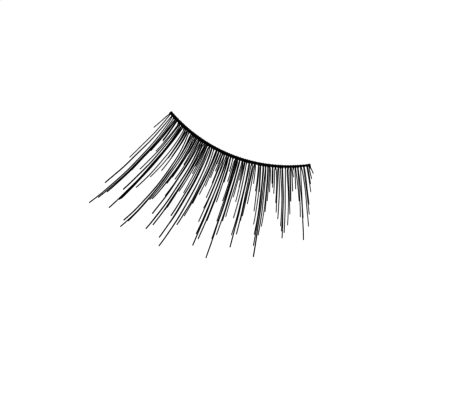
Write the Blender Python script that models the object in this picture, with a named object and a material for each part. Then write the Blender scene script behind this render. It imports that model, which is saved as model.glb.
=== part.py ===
"""False eyelash strip: a curved glued band with twelve clusters of curled lashes.

Metres, +Z up. The strip lies on the flat underside of its band. The band's lid
edge is an arc; lashes leave its outer side toward -Y. -X is the outer corner of
the eye and +X is the inner corner. The origin is the middle of the band's underside.
"""
import math
from collections import namedtuple

import bmesh
import bpy

MM = 0.001

# The band: an arc along the lid, thick at the outer corner and thin at the inner one.
LID_RADIUS = 20.90
BAND_LENGTH = 21.00
BAND_HEIGHT = 0.32
BAND_WIDTH = 0.31
INNER_WIDTH = 0.17
THINNING_FROM = 12.5
BAND_SECTIONS = 44
UNDERSIDE = 0.86
CROWN_STEPS = 4

# The row of knots: one bar for each cluster, just clear of the band.
CLEARANCE = 0.03
KNOT_BAR_WIDTH = 0.15
KNOT_BAR_LOW = 0.01
KNOT_BAR_HIGH = 0.30
KNOT_BAR_END = 0.066
KNOT_BAR_STEP = 0.55

# One lash: a thin bristle of even thickness with a blunt tip.
LASH_RADIUS = 0.062
TIP_RADIUS = 0.057
LASH_SIDES = 6
LASH_ROLL = 0.37
LASH_STEP = 2.2
ROOT_CROWDING = 1.35

# How a lash runs: it leaves its knot at a slant, straightens, then sweeps back.
KNOT_REACH = 0.40
KNOT_SPREAD = 0.045
SPREAD_REACH = 0.22
FOOT_REACH = 0.94

# How a lash curls: its belly lies on the table, then it rises on a round arc.
BELLY = 5.2
BELLY_LEVEL = 0.067
CURL_RADIUS = 17.0
ROOT_RISE = 0.05
ROOT_DROP = 0.50
LAYER_GAP = 0.135

# Both materials are near black: a soft bristle plastic and a thread stiff with dried glue.
LASH_COLOUR = (0.010, 0.009, 0.009, 1.0)
LASH_ROUGHNESS = 0.45
BAND_COLOUR = (0.006, 0.006, 0.007, 1.0)
BAND_ROUGHNESS = 0.60
SMOOTH_BELOW = math.radians(70.0)

# The lashes are charted in steps of CHART, as places along the lid edge from the outer end.
# settle: the reach over which a lash's slant at its foot dies away.
# knots: where each knot is tied, and the lashes that leave it, outermost first.
# Each lash has the place of its foot, where it has spread from its knot, the place of
# its tip, the tip's reach, and its sweep back toward the outer corner by the tip.
CHART = 0.1348
Cluster = namedtuple("Cluster", "number settle knots")
Lash = namedtuple("Lash", "knot foot tip reach sweep")
CLUSTERS = (
    Cluster(1, 27, (
        (0.9, ((0.4, 0.5, 24, 0), (2.1, 5.3, 62, 0.3))),
        (3.9, ((4.2, 6.6, 97, 1.5), (5.6, 8.8, 122, 3.1))),
        (6.5, ((7.3, 10.2, 112, 2.7),)),
        (8.6, ((8.6, 11.5, 102, 1.9), (9.7, 12.8, 69, 0))),
        (10.4, ((10.0, 12.9, 42, 0), (11.0, 13.9, 26, 0), (11.6, 14.5, 27, 0))))),
    Cluster(2, 19, (
        (13.4, ((14.4, 16.1, 39, 0),)),
        (14.8, ((15.2, 16.5, 63, 1.2), (16.7, 17.6, 89, 1.9))),
        (17.4, ((17.6, 18.8, 112, 2.4), (18.3, 19.1, 106, 2.4))),
        (19.0, ((19.0, 20.1, 99, 1.9), (19.7, 20.5, 97, 1.5))),
        (20.9, ((22.2, 23.0, 79, 2.6),)),
        (22.6, ((23.4, 25.7, 62, 2.2), (23.9, 26.1, 24, 0))),
        (24.8, ((24.6, 27.1, 36, 0), (25.8, 28.8, 33, 0), (26.6, 29.2, 50, 0.5))))),
    Cluster(3, 19, (
        (27.0, ((28.0, 30.0, 112, 4.4),)),
        (29.8, ((30.2, 30.8, 119, 4.9), (31.0, 32.3, 110, 3.2))),
        (31.6, ((31.8, 32.9, 100, 2.3), (33.0, 35.0, 80, 1.7))),
        (33.3, ((34.2, 36.0, 78, 2.8),)),
        (35.0, ((35.3, 36.9, 66, 1.2), (36.5, 38.1, 57, 0.6))),
        (36.8, ((37.0, 38.7, 49, 0.5), (37.2, 38.5, 20, 0))))),
    Cluster(4, 16, (
        (38.7, ((38.4, 40.7, 32, 0),)),
        (40.0, ((39.6, 41.3, 49, 0.7), (40.5, 42.1, 68, 1.2))),
        (41.8, ((41.9, 41.6, 90, 1.9), (42.7, 43.5, 106, 2.8))),
        (43.6, ((43.6, 44.1, 99, 2.2), (44.6, 45.8, 99, 2.1))),
        (45.8, ((45.2, 47.1, 80, 0.8), (47.0, 47.5, 77, 0.5))),
        (47.7, ((47.4, 48.7, 57, 1.0), (48.3, 49.5, 27, 0))),
        (49.1, ((49.2, 50.6, 35, 0), (49.7, 52.2, 56, 0))))),
    Cluster(5, 18, (
        (51.6, ((51.2, 52.5, 82, 1.4), (51.6, 52.9, 106.5, 2.6), (53.2, 54.1, 89, 1.8))),)),
    Cluster(6, 18, (
        (54.2, ((54.7, 55.2, 114, 3.4), (55.4, 56.2, 100, 2.4))),
        (56.6, ((57.2, 58.7, 87, 2.2),)),
        (59.4, ((59.4, 60.3, 76, 1.3), (60.1, 60.7, 64, 0.8), (60.6, 61.6, 61, 0.2))),
        (61.9, ((61.9, 63.1, 50, 0.4), (62.7, 64.5, 40, 0))),
        (64.4, ((64.3, 65.3, 30, 0), (64.9, 65.2, 15, 0))))),
    Cluster(7, 19, (
        (66.4, ((66.0, 66.9, 22, 0), (66.7, 68.5, 34, 0))),
        (68.0, ((68.0, 68.9, 50, 0), (68.9, 70.2, 60.5, 1.3))),
        (70.3, ((70.2, 70.7, 75, 0.5), (71.2, 72.4, 87, 1.1))),
        (72.4, ((72.2, 73.1, 99, 0.4), (72.9, 74.7, 91, 1.0), (73.3, 75.7, 71, 0.3))),
        (74.8, ((74.9, 77.2, 50, 0), (75.5, 77.3, 29, 0))),
        (77.2, ((77.6, 78.4, 17, 0),)))),
    Cluster(8, 24, (
        (80.0, ((79.4, 80.0, 27, 0), (80.3, 81.4, 47, 0.4))),
        (81.6, ((81.0, 82.3, 68, 0.3), (81.6, 82.9, 86, 0.5), (82.4, 83.2, 106, 0.3))),
        (84.1, ((84.0, 84.9, 81, 0.8), (84.8, 85.9, 66, 0))),
        (86.9, ((86.9, 87.2, 61, 0), (87.8, 88.4, 40, 0), (88.3, 89.5, 22, 0))))),
    Cluster(9, 25, (
        (89.3, ((89.3, 90.7, 29, 0), (90.1, 91.2, 44, 0))),
        (91.3, ((91.5, 92.8, 60, 0.9),)),
        (93.9, ((94.0, 94.5, 77, 1.3), (94.9, 95.5, 89, 0.5))),
        (96.7, ((96.0, 97.6, 75, 0.5), (97.8, 98.2, 61, 0))),
        (99.6, ((98.5, 98.8, 56, 0), (99.8, 100.5, 43, 0), (100.9, 102.1, 22, 0))))),
    Cluster(10, 28, (
        (103.4, ((103.8, 104.9, 29, 0.3), (104.3, 106.6, 49, 0))),
        (105.2, ((105.4, 107.9, 62, 1.2), (106.0, 108.2, 29, 0))),
        (107.9, ((108.2, 109.5, 72, 1.2), (108.9, 110.1, 83, 0.8))),
        (110.2, ((110.6, 111.1, 94, 0.4), (111.0, 112.2, 72, 1.0))),
        (112.6, ((112.9, 113.6, 63, 1.3), (113.4, 115.0, 48, 0))),
        (114.3, ((114.6, 115.7, 37, 0), (115.5, 116.8, 28, 0))))),
    Cluster(11, 25, (
        (117.2, ((117.4, 118.2, 19, 0), (118.0, 119.0, 23, 0))),
        (120.0, ((119.4, 120.5, 29, 0), (121.3, 122.7, 38, 0.6))),
        (122.8, ((122.4, 123.5, 47.5, 0), (123.6, 125.0, 54, 0.9))),
        (124.9, ((125.2, 127.3, 61, 1.2),)),
        (126.8, ((126.7, 128.0, 66, 1.3), (127.3, 128.6, 73, 0.6))),
        (129.9, ((129.8, 130.0, 67.5, 0.5),)),
        (132.5, ((131.0, 132.3, 60, 1.6), (132.6, 134.0, 49, 0))),
        (135.1, ((133.5, 134.6, 36, 0), (134.2, 134.8, 36, 0), (136.0, 136.5, 26, 0))),
        (137.6, ((136.9, 137.5, 12, 0),)))),
    Cluster(12, 22, (
        (139.7, ((139.2, 139.1, 24, 0), (140.2, 141.6, 36, 0))),
        (142.1, ((141.9, 141.8, 52, 0.8), (142.5, 143.1, 75, 1.0))),
        (145.0, ((144.6, 143.9, 53, 0), (146.4, 147.3, 62, 0.5))),
        (148.0, ((147.9, 148.7, 50, 0), (148.7, 149.3, 40, 0))),
        (151.3, ((151.1, 151.9, 28, 0), (152.1, 152.4, 20, 0))),
        (153.3, ((153.2, 154.1, 15, 0),)),
        (154.8, ((155.7, 156.5, 10, 0),)))),
)


def lashes_of(row):
    """The lashes of one cluster, outermost first, with their sizes in millimetres."""
    lashes = []
    for knot, ends in row.knots:
        for order, (foot, tip, reach, sweep) in enumerate(ends):
            tied = knot * CHART + (order - 0.5 * (len(ends) - 1)) * KNOT_SPREAD
            lashes.append(Lash(tied, foot * CHART, tip * CHART, reach * CHART, sweep * CHART))
    return lashes


def band_width(place):
    """Width of the band in plan, which thins toward the inner corner."""
    share = max(0.0, (place - THINNING_FROM) / (BAND_LENGTH - THINNING_FROM))
    return BAND_WIDTH + (INNER_WIDTH - BAND_WIDTH) * min(1.0, share)


def on_plan(place, reach, height):
    """Point in metres at an arc length along the lid edge and a reach out from it."""
    angle = (0.5 * BAND_LENGTH - place) / LID_RADIUS
    centre_y = LID_RADIUS + 0.5 * BAND_WIDTH
    out = LID_RADIUS + reach
    return (-out * math.sin(angle) * MM, (centre_y - out * math.cos(angle)) * MM, height * MM)


def curl_height(reach):
    """Height of a lash's lower layer: a flat belly, then a round arc upward."""
    root = ROOT_RISE * math.exp(-reach / ROOT_DROP)
    beyond = max(0.0, reach - BELLY)
    return BELLY_LEVEL + root + CURL_RADIUS - math.sqrt(CURL_RADIUS ** 2 - beyond ** 2)


def add_sweep(mesh, rings):
    """Closed skin through equal rings of points, with a flat face on both ends."""
    loops = []
    for ring in rings:
        loops.append([mesh.verts.new(point) for point in ring])
    for back, front in zip(loops, loops[1:]):
        for corner in range(len(back)):
            after = (corner + 1) % len(back)
            mesh.faces.new((back[corner], back[after], front[after], front[corner]))
    mesh.faces.new(list(reversed(loops[0])))
    mesh.faces.new(loops[-1])
    bmesh.ops.triangulate(mesh, faces=mesh.faces)


def band_ring(place):
    """Section of the band: flat underside, upright sides and a low crown."""
    width = band_width(place)
    middle = 0.5 * width
    half_under = 0.5 * width * UNDERSIDE
    points = [(middle + half_under, 0.0), (middle - half_under, 0.0)]
    for step in range(CROWN_STEPS + 1):
        turn = math.pi * step / CROWN_STEPS
        level = 0.55 * BAND_HEIGHT + 0.45 * BAND_HEIGHT * math.sin(turn)
        points.append((middle - 0.5 * width * math.cos(turn), level))
    return [on_plan(place, reach, height) for reach, height in points]


def knot_ring(place):
    """Section of a row of knots: a small bar with bevelled upper corners."""
    near = band_width(place) + CLEARANCE
    far = near + KNOT_BAR_WIDTH
    bevel = 0.3 * KNOT_BAR_WIDTH
    shoulder = KNOT_BAR_HIGH - bevel
    points = ((far, KNOT_BAR_LOW), (near, KNOT_BAR_LOW), (near, shoulder),
              (near + bevel, KNOT_BAR_HIGH), (far - bevel, KNOT_BAR_HIGH), (far, shoulder))
    return [on_plan(place, reach, height) for reach, height in points]


def lash_place(row, lash, reach):
    """Place along the lid edge that a lash has come to at a given reach."""
    def course(out):
        def slanted(far):
            return 1.0 - math.exp((FOOT_REACH - far) / (row.settle * CHART))

        lean = (lash.tip + lash.sweep - lash.foot) / slanted(lash.reach)
        return lash.foot + lean * slanted(out) - lash.sweep * (out / lash.reach) ** 3

    spread = math.exp((KNOT_REACH - max(reach, KNOT_REACH)) / SPREAD_REACH)
    return course(reach) + (lash.knot - course(KNOT_REACH)) * spread


def lash_rings(row, lash, index):
    """Rings of one lash from inside its knot to its blunt tip."""
    layer = index % 2
    start = band_width(lash.knot) + CLEARANCE + 0.4 * KNOT_BAR_WIDTH
    steps = max(2, math.ceil((lash.reach - start) / LASH_STEP))
    rings = []
    for step in range(steps + 1):
        share = step / steps
        reach = start + (lash.reach - start) * share ** ROOT_CROWDING
        place = lash_place(row, lash, reach)
        ahead = lash_place(row, lash, reach + 0.01)
        slant = (ahead - place) * (LID_RADIUS + reach) / LID_RADIUS / 0.01
        rise = (curl_height(reach + 0.01) - curl_height(reach)) / 0.01
        radius = LASH_RADIUS + (TIP_RADIUS - LASH_RADIUS) * share
        centre = curl_height(reach) + layer * LAYER_GAP
        ring = []
        for corner in range(LASH_SIDES):
            turn = 2.0 * math.pi * (corner + LASH_ROLL * index) / LASH_SIDES
            across = radius * math.cos(turn)
            above = radius * math.sin(turn)
            back = (-across * slant - above * rise) / (1.0 + slant ** 2 + rise ** 2)
            side = across * LID_RADIUS / (LID_RADIUS + reach)
            ring.append(on_plan(place + side, reach + back, centre + above))
        rings.append(ring)
    return rings


def new_material(name, colour, roughness):
    """Plain non-metal material of one colour."""
    material = bpy.data.materials.new(name)
    material.use_nodes = True
    shader = material.node_tree.nodes["Principled BSDF"]
    shader.inputs["Base Color"].default_value = colour
    shader.inputs["Roughness"].default_value = roughness
    shader.inputs["Metallic"].default_value = 0.0
    material.diffuse_color = colour
    return material


def new_object(name, mesh):
    """Object with clean outward faces made from a bmesh."""
    bmesh.ops.recalc_face_normals(mesh, faces=mesh.faces)
    data = bpy.data.meshes.new(name)
    mesh.to_mesh(data)
    mesh.free()
    piece = bpy.data.objects.new(name, data)
    bpy.context.scene.collection.objects.link(piece)
    return piece


def finish_piece(piece, material, strip):
    """Give a finished piece its material and shading and hang it on the strip's empty."""
    piece.data.materials.append(material)
    piece.data.shade_smooth()
    piece.data.set_sharp_from_angle(angle=SMOOTH_BELOW)
    piece.parent = strip


def triangulated(name, piece):
    """The piece with its modifiers applied, as triangles, under a new name."""
    graph = bpy.context.evaluated_depsgraph_get()
    mesh = bmesh.new()
    mesh.from_mesh(piece.evaluated_get(graph).to_mesh())
    bmesh.ops.remove_doubles(mesh, verts=mesh.verts, dist=0.0015 * MM)
    bmesh.ops.triangulate(mesh, faces=mesh.faces)
    return new_object(name, mesh)


def build_band():
    """The glued band as one solid along the lid arc."""
    mesh = bmesh.new()
    places = [BAND_LENGTH * step / BAND_SECTIONS for step in range(BAND_SECTIONS + 1)]
    add_sweep(mesh, [band_ring(place) for place in places])
    return new_object("lash_band", mesh)


def build_cluster(row):
    """One cluster: its row of knots with the lashes fused into it."""
    first = max(0.0, row.knots[0][0] * CHART - KNOT_BAR_END)
    last = min(BAND_LENGTH, row.knots[-1][0] * CHART + KNOT_BAR_END)
    pieces = max(2, round((last - first) / KNOT_BAR_STEP))
    bar_mesh = bmesh.new()
    places = [first + (last - first) * step / pieces for step in range(pieces + 1)]
    add_sweep(bar_mesh, [knot_ring(place) for place in places])
    bar = new_object("knots", bar_mesh)

    lash_mesh = bmesh.new()
    for index, lash in enumerate(lashes_of(row)):
        add_sweep(lash_mesh, lash_rings(row, lash, index))
    lashes = new_object("lashes", lash_mesh)

    union = bar.modifiers.new("fuse", "BOOLEAN")
    union.operation = "UNION"
    union.solver = "EXACT"
    union.use_self = True
    union.object = lashes
    cluster = triangulated("lash_cluster_%02d" % row.number, bar)
    bpy.data.objects.remove(bar)
    bpy.data.objects.remove(lashes)
    return cluster


def build_strip():
    """The whole strip: the band and its twelve clusters under one empty."""
    strip = bpy.data.objects.new("false_eyelash_strip", None)
    bpy.context.scene.collection.objects.link(strip)
    band_material = new_material("band_thread", BAND_COLOUR, BAND_ROUGHNESS)
    lash_material = new_material("lash_fibre", LASH_COLOUR, LASH_ROUGHNESS)
    finish_piece(build_band(), band_material, strip)
    for row in CLUSTERS:
        finish_piece(build_cluster(row), lash_material, strip)


for leftover in list(bpy.data.objects):
    bpy.data.objects.remove(leftover)
build_strip()
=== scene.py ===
import math
import random
from collections import namedtuple

import bmesh
import bpy
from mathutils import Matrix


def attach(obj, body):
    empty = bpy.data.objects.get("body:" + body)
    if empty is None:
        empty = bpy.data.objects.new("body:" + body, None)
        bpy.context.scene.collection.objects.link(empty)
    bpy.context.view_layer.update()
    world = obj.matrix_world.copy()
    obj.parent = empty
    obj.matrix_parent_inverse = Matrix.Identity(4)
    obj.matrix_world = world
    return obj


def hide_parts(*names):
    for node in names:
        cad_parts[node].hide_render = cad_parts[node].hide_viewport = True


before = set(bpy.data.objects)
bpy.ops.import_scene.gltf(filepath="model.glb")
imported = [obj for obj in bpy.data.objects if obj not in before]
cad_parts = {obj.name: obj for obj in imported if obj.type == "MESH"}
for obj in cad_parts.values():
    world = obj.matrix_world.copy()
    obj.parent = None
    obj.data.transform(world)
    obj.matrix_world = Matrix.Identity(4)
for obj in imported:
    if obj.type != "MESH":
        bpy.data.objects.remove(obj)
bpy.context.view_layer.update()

MM = 0.001
SEED = 20

# The band: an arc along the lid, thick at the outer corner and thin at the inner one.
LID_RADIUS = 20.90
BAND_LENGTH = 21.00
BAND_HEIGHT = 0.32
BAND_WIDTH = 0.31
INNER_WIDTH = 0.17
THINNING_FROM = 12.5
CENTRE_Y = LID_RADIUS + 0.5 * BAND_WIDTH

# The band's thread: twisted plies pressed flat underneath.
PLIES = 3
PLY_TURN = 1.15
PLY_DEPTH = 0.07
THREAD_FROM = -0.05
THREAD_TO = 20.86
THREAD_STEP = 0.06
THREAD_SIDES = 28
THREAD_RISE = 0.56
END_BEVEL = 0.03
END_PINCH = 0.12

# The row of knots, the dried glue that fills it, and the loops of fibre over the band.
CLEARANCE = 0.03
KNOT_REACH = 0.40
ROOT_DEPTH = 0.06
KNOT_SPREAD = 0.045
SPREAD_REACH = 0.22
FOOT_REACH = 0.94
GLUE_EDGE = 0.065
TOOTH_REACH = 0.66
TOOTH_WIDTH = 0.085
GLUE_STEP = 0.03
GLUE_TOP = 0.25
GLUE_BASE = 0.012
GLUE_LAP = 0.05
GLUE_SIDES = 12
LOOP_RADIUS = 0.047
LOOP_STEPS = 14
LOOP_SIDES = 8
LOOP_CLEAR = 0.018
LOOP_FROM = 0.08
LOOP_TURN = 1.05
LOOP_FOOT = 0.10
LOOP_SINK = 0.13
LOOP_LEAN = (0.02, 0.09)

# One lash: a round bristle with a blunt, slightly rounded tip. Long ones swell further out.
LASH_RADIUS = 0.058
LONG_RADIUS = 0.078
THICKER_FROM = 8.5
THICKEST_AT = 12.0
SWELL_FROM = 3.0
SWELL_TO = 9.0
TIP_TAPER = 0.90
TIP_ROUND = 0.018
TIP_TURNS = (0.5, 0.85, 1.0)
LASH_SIDES = 10
LASH_STEP = 0.32
WANDER = 0.018
WANDER_LENGTH = 5.5
WANDER_SHARE = (0.4, 1.0)
STOUTNESS = (0.94, 1.06)
LIFT_SPREAD = 0.03

# How a lash curls: its belly lies on the table, then it rises on a round arc.
BELLY = 5.2
BELLY_LEVEL = 0.067
CURL_RADIUS = 17.0
ROOT_RISE = 0.05
ROOT_DROP = 0.50
LAYER_GAP = 0.135

# The photograph: a camera straight above, turned about the vertical.
FIELD_WIDTH = 63.09
VIEW_X = 2.008
VIEW_Y = -5.494
VIEW_TURN = 20.54
LENS = 1200.0
SENSOR = 36.0
CLIP_FROM = 0.01
CLIP_TO = 10.0
VIEW_GAMMA = 0.5

# The light: a glowing table, white surroundings and two soft lamps, placed in metres.
TABLE_HALF = 1.5
TABLE_GLOW = 0.93
TABLE_WHITE = 0.15
TABLE_ROUGHNESS = 0.7
TABLE_SHINE = 0.2
SKY = 0.35
Lamp = namedtuple("Lamp", "name place size power")
LAMPS = (
    Lamp("key", (-0.45, 0.30, 0.70), 0.5, 2.0),
    Lamp("fill", (0.50, -0.35, 0.60), 0.6, 1.2),
)

# The materials: each varies from dark to light with noise of a grain, and the depth of
# its relief is in millimetres.
BLACK_SHINE = 0.3
NOISE_DETAIL = 4.0
DARK_BELOW = 0.35
LIGHT_ABOVE = 0.68
RELIEF_STRENGTH = 0.5
Look = namedtuple("Look", "name dark light grain roughness relief")
LOOKS = (
    Look("lash_fibre", (0.006, 0.005, 0.005), (0.016, 0.013, 0.012), 2500.0, (0.35, 0.55), 0.004),
    Look("band_thread", (0.004, 0.004, 0.004), (0.012, 0.011, 0.011), 6000.0, (0.55, 0.8), 0.01),
    Look("root_glue", (0.003, 0.003, 0.003), (0.008, 0.008, 0.008), 1500.0, (0.25, 0.45), 0.01),
)

# The lashes are charted in steps of CHART, as places along the lid edge from the outer end.
# settle: the reach over which a lash's slant at its foot dies away.
# knots: where each knot is tied, and the lashes that leave it, outermost first.
# Each lash has the place of its foot, where it has spread from its knot, the place of
# its tip, the tip's reach, and its sweep back toward the outer corner by the tip.
CHART = 0.1348
Cluster = namedtuple("Cluster", "number settle knots")
Lash = namedtuple("Lash", "knot foot tip reach sweep")
CLUSTERS = (
    Cluster(1, 27, (
        (0.9, ((0.4, 0.5, 24, 0), (2.1, 5.3, 62, 0.3))),
        (3.9, ((4.2, 6.6, 97, 1.5), (5.6, 8.8, 122, 3.1))),
        (6.5, ((7.3, 10.2, 112, 2.7),)),
        (8.6, ((8.6, 11.5, 102, 1.9), (9.7, 12.8, 69, 0))),
        (10.4, ((10.0, 12.9, 42, 0), (11.0, 13.9, 26, 0), (11.6, 14.5, 27, 0))))),
    Cluster(2, 19, (
        (13.4, ((14.4, 16.1, 39, 0),)),
        (14.8, ((15.2, 16.5, 63, 1.2), (16.7, 17.6, 89, 1.9))),
        (17.4, ((17.6, 18.8, 112, 2.4), (18.3, 19.1, 106, 2.4))),
        (19.0, ((19.0, 20.1, 99, 1.9), (19.7, 20.5, 97, 1.5))),
        (20.9, ((22.2, 23.0, 79, 2.6),)),
        (22.6, ((23.4, 25.7, 62, 2.2), (23.9, 26.1, 24, 0))),
        (24.8, ((24.6, 27.1, 36, 0), (25.8, 28.8, 33, 0), (26.6, 29.2, 50, 0.5))))),
    Cluster(3, 19, (
        (27.0, ((28.0, 30.0, 112, 4.4),)),
        (29.8, ((30.2, 30.8, 119, 4.9), (31.0, 32.3, 110, 3.2))),
        (31.6, ((31.8, 32.9, 100, 2.3), (33.0, 35.0, 80, 1.7))),
        (33.3, ((34.2, 36.0, 78, 2.8),)),
        (35.0, ((35.3, 36.9, 66, 1.2), (36.5, 38.1, 57, 0.6))),
        (36.8, ((37.0, 38.7, 49, 0.5), (37.2, 38.5, 20, 0))))),
    Cluster(4, 16, (
        (38.7, ((38.4, 40.7, 32, 0),)),
        (40.0, ((39.6, 41.3, 49, 0.7), (40.5, 42.1, 68, 1.2))),
        (41.8, ((41.9, 41.6, 90, 1.9), (42.7, 43.5, 106, 2.8))),
        (43.6, ((43.6, 44.1, 99, 2.2), (44.6, 45.8, 99, 2.1))),
        (45.8, ((45.2, 47.1, 80, 0.8), (47.0, 47.5, 77, 0.5))),
        (47.7, ((47.4, 48.7, 57, 1.0), (48.3, 49.5, 27, 0))),
        (49.1, ((49.2, 50.6, 35, 0), (49.7, 52.2, 56, 0))))),
    Cluster(5, 18, (
        (51.6, ((51.2, 52.5, 82, 1.4), (51.6, 52.9, 106.5, 2.6), (53.2, 54.1, 89, 1.8))),)),
    Cluster(6, 18, (
        (54.2, ((54.7, 55.2, 114, 3.4), (55.4, 56.2, 100, 2.4))),
        (56.6, ((57.2, 58.7, 87, 2.2),)),
        (59.4, ((59.4, 60.3, 76, 1.3), (60.1, 60.7, 64, 0.8), (60.6, 61.6, 61, 0.2))),
        (61.9, ((61.9, 63.1, 50, 0.4), (62.7, 64.5, 40, 0))),
        (64.4, ((64.3, 65.3, 30, 0), (64.9, 65.2, 15, 0))))),
    Cluster(7, 19, (
        (66.4, ((66.0, 66.9, 22, 0), (66.6, 68.5, 34, 0))),
        (68.0, ((68.4, 68.9, 50, 0), (68.9, 70.2, 60.5, 1.3))),
        (70.3, ((70.5, 70.7, 75, 0.5), (71.6, 72.4, 87, 1.1))),
        (72.4, ((72.4, 73.1, 99, 0.4), (72.8, 74.7, 91, 1.0), (73.2, 75.7, 71, 0.3))),
        (74.8, ((74.9, 77.2, 50, 0), (75.5, 77.3, 29, 0))),
        (77.2, ((77.6, 78.4, 17, 0),)))),
    Cluster(8, 24, (
        (80.0, ((79.4, 80.0, 27, 0), (80.3, 81.4, 47, 0.4))),
        (81.6, ((81.2, 82.3, 68, 0.3), (82.0, 82.9, 86, 0.5), (82.8, 83.2, 106, 0.3))),
        (84.1, ((84.0, 84.9, 81, 0.8), (84.8, 85.9, 66, 0))),
        (86.9, ((86.9, 87.2, 61, 0), (87.8, 88.4, 40, 0), (88.3, 89.5, 22, 0))))),
    Cluster(9, 25, (
        (89.3, ((89.3, 90.7, 29, 0), (90.1, 91.2, 44, 0))),
        (91.3, ((91.5, 92.8, 60, 0.9),)),
        (93.9, ((94.0, 94.5, 77, 1.3), (94.9, 95.5, 89, 0.5))),
        (96.7, ((96.0, 97.6, 75, 0.5), (97.8, 98.2, 61, 0))),
        (99.6, ((98.5, 98.8, 56, 0), (99.8, 100.5, 43, 0), (100.9, 102.1, 22, 0))))),
    Cluster(10, 28, (
        (103.4, ((103.8, 104.9, 29, 0.3), (104.3, 106.6, 49, 0))),
        (105.2, ((105.4, 107.9, 62, 1.2), (106.0, 108.2, 29, 0))),
        (107.9, ((108.2, 109.5, 72, 1.2), (108.9, 110.1, 83, 0.8))),
        (110.2, ((110.6, 111.1, 94, 0.4), (111.0, 112.2, 72, 1.0))),
        (112.6, ((112.9, 113.6, 63, 1.3), (113.4, 115.0, 48, 0))),
        (114.3, ((114.6, 115.7, 37, 0), (115.5, 116.8, 28, 0))))),
    Cluster(11, 25, (
        (117.2, ((117.4, 118.2, 19, 0), (118.0, 119.0, 23, 0))),
        (120.0, ((119.4, 120.5, 29, 0), (121.3, 122.7, 38, 0.6))),
        (122.8, ((122.4, 123.5, 47.5, 0), (123.6, 125.0, 54, 0.9))),
        (124.9, ((125.2, 127.3, 61, 1.2),)),
        (126.8, ((126.7, 128.0, 66, 1.3), (127.3, 128.6, 73, 0.6))),
        (129.9, ((129.8, 130.0, 67.5, 0.5),)),
        (132.5, ((131.5, 132.3, 60, 1.3), (132.4, 134.0, 49, 0))),
        (135.1, ((134.1, 134.6, 36, 0), (134.6, 134.8, 36, 0), (136.0, 136.5, 26, 0))),
        (137.6, ((136.9, 137.5, 12, 0),)))),
    Cluster(12, 22, (
        (139.7, ((139.2, 139.1, 24, 0), (140.2, 141.6, 36, 0))),
        (142.1, ((141.9, 141.8, 52, 0.8), (142.5, 143.1, 75, 1.0))),
        (145.0, ((144.6, 143.9, 53, 0), (146.4, 147.3, 62, 0.5))),
        (148.0, ((147.9, 148.7, 50, 0), (148.7, 149.3, 40, 0))),
        (151.3, ((151.1, 151.9, 28, 0), (152.1, 152.4, 20, 0))),
        (153.3, ((153.2, 154.1, 15, 0),)),
        (154.3, ((155.4, 156.3, 10, 0),)))),
)


def lashes_of(row):
    """The lashes of one cluster, outermost first, with their sizes in millimetres."""
    lashes = []
    for knot, ends in row.knots:
        for order, (foot, tip, reach, sweep) in enumerate(ends):
            tied = knot * CHART + (order - 0.5 * (len(ends) - 1)) * KNOT_SPREAD
            lashes.append(Lash(tied, foot * CHART, tip * CHART, reach * CHART, sweep * CHART))
    return lashes


def band_width(place):
    """Width of the band in plan, which thins toward the inner corner."""
    share = max(0.0, (place - THINNING_FROM) / (BAND_LENGTH - THINNING_FROM))
    return BAND_WIDTH + (INNER_WIDTH - BAND_WIDTH) * min(1.0, share)


def on_plan(place, reach, height):
    """Point in metres at an arc length along the lid edge and a reach out from it."""
    angle = (0.5 * BAND_LENGTH - place) / LID_RADIUS
    out = LID_RADIUS + reach
    return (-out * math.sin(angle) * MM, (CENTRE_Y - out * math.cos(angle)) * MM, height * MM)


def curl_height(reach):
    """Height of a lash's lower layer: a flat belly, then a round arc upward."""
    root = ROOT_RISE * math.exp(-max(0.0, reach) / ROOT_DROP)
    beyond = max(0.0, reach - BELLY)
    return BELLY_LEVEL + root + CURL_RADIUS - math.sqrt(CURL_RADIUS ** 2 - beyond ** 2)


def lash_place(row, lash, reach):
    """Place along the lid edge that a lash has come to at a given reach."""
    def course(out):
        def slanted(far):
            return 1.0 - math.exp((FOOT_REACH - far) / (row.settle * CHART))

        lean = (lash.tip + lash.sweep - lash.foot) / slanted(lash.reach)
        return lash.foot + lean * slanted(out) - lash.sweep * (out / lash.reach) ** 3

    spread = math.exp((KNOT_REACH - max(reach, KNOT_REACH)) / SPREAD_REACH)
    return course(reach) + (lash.knot - course(KNOT_REACH)) * spread


def lash_radius(lash, reach):
    """Radius of a lash at a given reach: long lashes swell once clear of the band."""
    longer = (lash.reach - THICKER_FROM) / (THICKEST_AT - THICKER_FROM)
    swell = (reach - SWELL_FROM) / (SWELL_TO - SWELL_FROM)
    share = min(1.0, max(0.0, longer)) * min(1.0, max(0.0, swell))
    return LASH_RADIUS + (LONG_RADIUS - LASH_RADIUS) * share


def add_rings(mesh, rings):
    """Closed skin through equal rings of points, with a face on both ends."""
    loops = []
    for ring in rings:
        loops.append([mesh.verts.new(point) for point in ring])
    for back, front in zip(loops, loops[1:]):
        for corner in range(len(back)):
            after = (corner + 1) % len(back)
            mesh.faces.new((back[corner], back[after], front[after], front[corner]))
    mesh.faces.new(list(reversed(loops[0])))
    mesh.faces.new(loops[-1])


def tube_ring(centre, along, radius, sides, roll=0.0):
    """Ring of points round a place (place, reach, height) whose path runs along."""
    place, reach, height = centre
    length = math.sqrt(sum(part * part for part in along))
    ahead = [part / length for part in along]
    flat = math.hypot(ahead[0], ahead[1]) or 1.0
    side = (ahead[1] / flat, -ahead[0] / flat, 0.0)
    above = (side[1] * ahead[2], -side[0] * ahead[2], side[0] * ahead[1] - side[1] * ahead[0])
    if above[2] < 0.0:
        above = tuple(-part for part in above)
    scale = LID_RADIUS / (LID_RADIUS + reach)
    ring = []
    for corner in range(sides):
        turn = 2.0 * math.pi * corner / sides + roll
        across, up = radius * math.cos(turn), radius * math.sin(turn)
        shift = [across * side[axis] + up * above[axis] for axis in range(3)]
        ring.append(on_plan(place + shift[0] * scale, reach + shift[1], height + shift[2]))
    return ring


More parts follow.
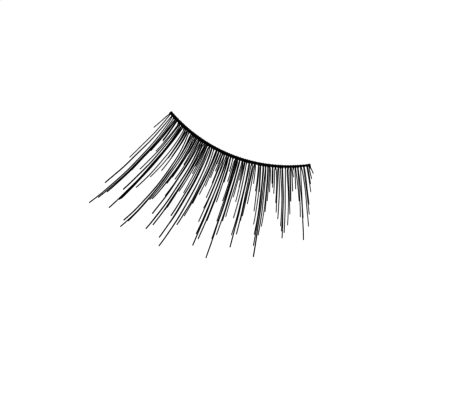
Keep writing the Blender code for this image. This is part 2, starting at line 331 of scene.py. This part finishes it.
def lash_rings(row, lash, layer, dice):
    """Rings of one lash from inside its knot to its blunt tip."""
    start = band_width(lash.knot) + CLEARANCE + ROOT_DEPTH
    end = lash.reach
    phase = dice.uniform(0.0, 2.0 * math.pi)
    wander = WANDER * dice.uniform(*WANDER_SHARE)
    lift = LIFT_SPREAD * dice.uniform(0.0, 1.0)
    roll = dice.uniform(0.0, 1.0)
    stout = dice.uniform(*STOUTNESS)

    def course(reach):
        # The wander fades out at both ends: share * (1 - share) is a quarter in the middle.
        share = (reach - start) / (end - start)
        wave = wander * math.sin(phase + 2.0 * math.pi * reach / WANDER_LENGTH) * share * (1.0 - share)
        height = curl_height(reach) + layer * LAYER_GAP + lift * share
        return (lash_place(row, lash, reach) + 4.0 * wave, reach, height)

    steps = max(4, math.ceil((end - start) / LASH_STEP))
    stations = [start + (end - start - TIP_ROUND) * step / steps for step in range(steps + 1)]
    taper = [1.0 + (TIP_TAPER - 1.0) * step / steps for step in range(steps + 1)]
    radii = [stout * share * lash_radius(lash, reach) for share, reach in zip(taper, stations)]
    for turn in TIP_TURNS:
        stations.append(end - TIP_ROUND * (1.0 - math.sin(turn * 0.5 * math.pi)))
        radii.append(radii[steps] - TIP_ROUND * (1.0 - math.cos(turn * 0.5 * math.pi)))
    rings = []
    for reach, radius in zip(stations, radii):
        here, ahead = course(reach), course(reach + 0.01)
        along = ((ahead[0] - here[0]) * (LID_RADIUS + reach) / LID_RADIUS, 0.01, ahead[2] - here[2])
        rings.append(tube_ring(here, along, radius, LASH_SIDES, roll))
    return rings


def loop_rings(place, lean):
    """Rings of a fibre folded over the band: from its knot, over the crown, to the lid edge."""
    width = band_width(place)
    middle = 0.5 * width
    rings = []
    for step in range(LOOP_STEPS + 1):
        turn = math.pi * (LOOP_FROM + LOOP_TURN * step / LOOP_STEPS)
        reach = middle + (0.5 * width + LOOP_CLEAR) * math.cos(turn)
        height = max(LOOP_RADIUS, LOOP_FOOT + (BAND_HEIGHT - LOOP_SINK) * math.sin(turn))
        shift = lean * (reach - middle) / width
        along = (-lean * math.sin(turn) * 0.5, -0.5 * width * math.sin(turn), 0.2 * math.cos(turn))
        rings.append(tube_ring((place + shift, reach, height), along, LOOP_RADIUS, LOOP_SIDES))
    return rings


def new_piece(name, mesh, material, slot, *nodes):
    """Object from a bmesh that rides on the part, in place of CAD nodes if any are named."""
    bmesh.ops.recalc_face_normals(mesh, faces=mesh.faces)
    data = bpy.data.meshes.new(name)
    mesh.to_mesh(data)
    mesh.free()
    data.shade_smooth()
    data.set_sharp_from_angle(angle=math.radians(50.0))
    data.materials.append(material)
    piece = bpy.data.objects.new(name, data)
    bpy.context.scene.collection.objects.link(piece)
    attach(piece, "root")
    if nodes:
        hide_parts(*nodes)
    return piece


def build_thread(material):
    """The band's twisted thread, flat underneath and cut square at both ends."""
    mesh = bmesh.new()
    length = THREAD_TO - THREAD_FROM
    steps = round(length / THREAD_STEP)
    places = [THREAD_FROM + length * step / steps for step in range(steps + 1)]
    rings = []
    for place in places:
        width = band_width(place)
        end = min(place - THREAD_FROM, THREAD_TO - place)
        pinch = 1.0 - END_PINCH * max(0.0, 1.0 - end / END_BEVEL)
        ring = []
        for corner in range(THREAD_SIDES):
            turn = 2.0 * math.pi * corner / THREAD_SIDES
            ply = abs(math.sin(0.5 * PLIES * (turn + 2.0 * math.pi * place / PLY_TURN)))
            bulge = pinch * (1.0 - PLY_DEPTH * (1.0 - ply))
            reach = 0.5 * width * (1.0 - math.cos(turn) * bulge)
            height = 0.5 * BAND_HEIGHT + THREAD_RISE * BAND_HEIGHT * math.sin(turn) * bulge
            ring.append(on_plan(place, reach, min(BAND_HEIGHT, max(0.0, height))))
        rings.append(ring)
    add_rings(mesh, rings)
    return new_piece("band_thread", mesh, material, "band_thread", "lash_band")


def build_glue(material):
    """Dried glue along the row of knots, drawn out in a tooth at each knot."""
    knots = [knot * CHART for row in CLUSTERS for knot, _ in row.knots]
    mesh = bmesh.new()
    length = THREAD_TO - THREAD_FROM
    steps = round(length / GLUE_STEP)
    rings = []
    for step in range(steps + 1):
        place = THREAD_FROM + length * step / steps
        nearest = min(abs(place - knot) for knot in knots)
        near = band_width(place) - GLUE_LAP
        edge = band_width(place) + GLUE_EDGE
        far = edge + (TOOTH_REACH - edge) * math.exp(-(nearest / TOOTH_WIDTH) ** 2)
        middle = 0.5 * (near + far)
        ring = []
        for corner in range(GLUE_SIDES):
            turn = 2.0 * math.pi * corner / GLUE_SIDES
            reach = middle + 0.5 * (far - near) * math.cos(turn)
            height = 0.5 * GLUE_TOP * (1.0 + math.sin(turn)) + GLUE_BASE
            ring.append(on_plan(place, reach, height))
        rings.append(ring)
    add_rings(mesh, rings)
    return new_piece("root_glue", mesh, material, "band_thread")


def build_cluster(row, material, dice):
    """One cluster's lashes, and the folds of its fibres over the band."""
    mesh = bmesh.new()
    for index, lash in enumerate(lashes_of(row)):
        add_rings(mesh, lash_rings(row, lash, index % 2, dice))
    for knot, _ in row.knots:
        add_rings(mesh, loop_rings(knot * CHART, dice.uniform(*LOOP_LEAN)))
    name = "lash_cluster_%02d" % row.number
    return new_piece("lashes_%02d" % row.number, mesh, material, "lash_fibre", name)


def noise_material(look):
    """Near-black material whose colour, gloss and relief vary with fine noise."""
    material = bpy.data.materials.new(look.name)
    material.use_nodes = True
    nodes, links = material.node_tree.nodes, material.node_tree.links
    shader = nodes["Principled BSDF"]
    where = nodes.new("ShaderNodeTexCoord")
    grain = nodes.new("ShaderNodeTexNoise")
    grain.inputs["Scale"].default_value = look.grain
    grain.inputs["Detail"].default_value = NOISE_DETAIL
    links.new(where.outputs["Object"], grain.inputs["Vector"])
    tint = nodes.new("ShaderNodeValToRGB")
    tint.color_ramp.elements[0].position = DARK_BELOW
    tint.color_ramp.elements[0].color = look.dark + (1.0,)
    tint.color_ramp.elements[1].position = LIGHT_ABOVE
    tint.color_ramp.elements[1].color = look.light + (1.0,)
    links.new(grain.outputs["Fac"], tint.inputs["Fac"])
    links.new(tint.outputs["Color"], shader.inputs["Base Color"])
    gloss = nodes.new("ShaderNodeMapRange")
    gloss.inputs["To Min"].default_value = look.roughness[0]
    gloss.inputs["To Max"].default_value = look.roughness[1]
    links.new(grain.outputs["Fac"], gloss.inputs["Value"])
    links.new(gloss.outputs["Result"], shader.inputs["Roughness"])
    relief = nodes.new("ShaderNodeBump")
    relief.inputs["Strength"].default_value = RELIEF_STRENGTH
    relief.inputs["Distance"].default_value = look.relief * MM
    links.new(grain.outputs["Fac"], relief.inputs["Height"])
    links.new(relief.outputs["Normal"], shader.inputs["Normal"])
    shader.inputs["Specular IOR Level"].default_value = BLACK_SHINE
    return material


def build_table():
    """Plain white light table: it glows evenly, so that the gaps between lashes stay white."""
    mesh = bmesh.new()
    bmesh.ops.create_grid(mesh, x_segments=1, y_segments=1, size=TABLE_HALF)
    data = bpy.data.meshes.new("table_top")
    mesh.to_mesh(data)
    mesh.free()
    material = bpy.data.materials.new("white_table")
    material.use_nodes = True
    shader = material.node_tree.nodes["Principled BSDF"]
    shader.inputs["Base Color"].default_value = (TABLE_WHITE, TABLE_WHITE, TABLE_WHITE, 1.0)
    shader.inputs["Roughness"].default_value = TABLE_ROUGHNESS
    shader.inputs["Specular IOR Level"].default_value = TABLE_SHINE
    shader.inputs["Emission Color"].default_value = (1.0, 1.0, 1.0, 1.0)
    shader.inputs["Emission Strength"].default_value = TABLE_GLOW
    data.materials.append(material)
    table = bpy.data.objects.new("table_top", data)
    bpy.context.scene.collection.objects.link(table)


def build_light():
    """White surroundings and two broad soft lamps."""
    world = bpy.data.worlds.new("studio")
    world.use_nodes = True
    world.node_tree.nodes["Background"].inputs["Color"].default_value = (1.0, 1.0, 1.0, 1.0)
    world.node_tree.nodes["Background"].inputs["Strength"].default_value = SKY
    bpy.context.scene.world = world
    for lamp in LAMPS:
        light = bpy.data.lights.new(lamp.name, "AREA")
        light.size = lamp.size
        light.energy = lamp.power
        holder = bpy.data.objects.new(lamp.name, light)
        holder.location = lamp.place
        across, along, up = lamp.place
        holder.rotation_euler = (math.atan2(math.hypot(across, along), up), 0.0, math.atan2(across, -along))
        bpy.context.scene.collection.objects.link(holder)


def build_camera():
    """Camera straight above the strip, framed and turned as in the photograph."""
    data = bpy.data.cameras.new("camera")
    data.lens = LENS
    data.sensor_width = SENSOR
    distance = FIELD_WIDTH * LENS / SENSOR
    data.clip_start = CLIP_FROM
    data.clip_end = CLIP_TO
    camera = bpy.data.objects.new("camera", data)
    camera.location = (VIEW_X * MM, VIEW_Y * MM, distance * MM)
    camera.rotation_euler = (0.0, 0.0, math.radians(VIEW_TURN))
    bpy.context.scene.collection.objects.link(camera)
    bpy.context.scene.camera = camera


dice = random.Random(SEED)
fibre, thread, glue = [noise_material(look) for look in LOOKS]
build_thread(thread)
build_glue(glue)
for cluster_row in CLUSTERS:
    build_cluster(cluster_row, fibre, dice)
build_table()
build_light()
build_camera()
bpy.context.scene.view_settings.view_transform = "Standard"
bpy.context.scene.view_settings.gamma = VIEW_GAMMA
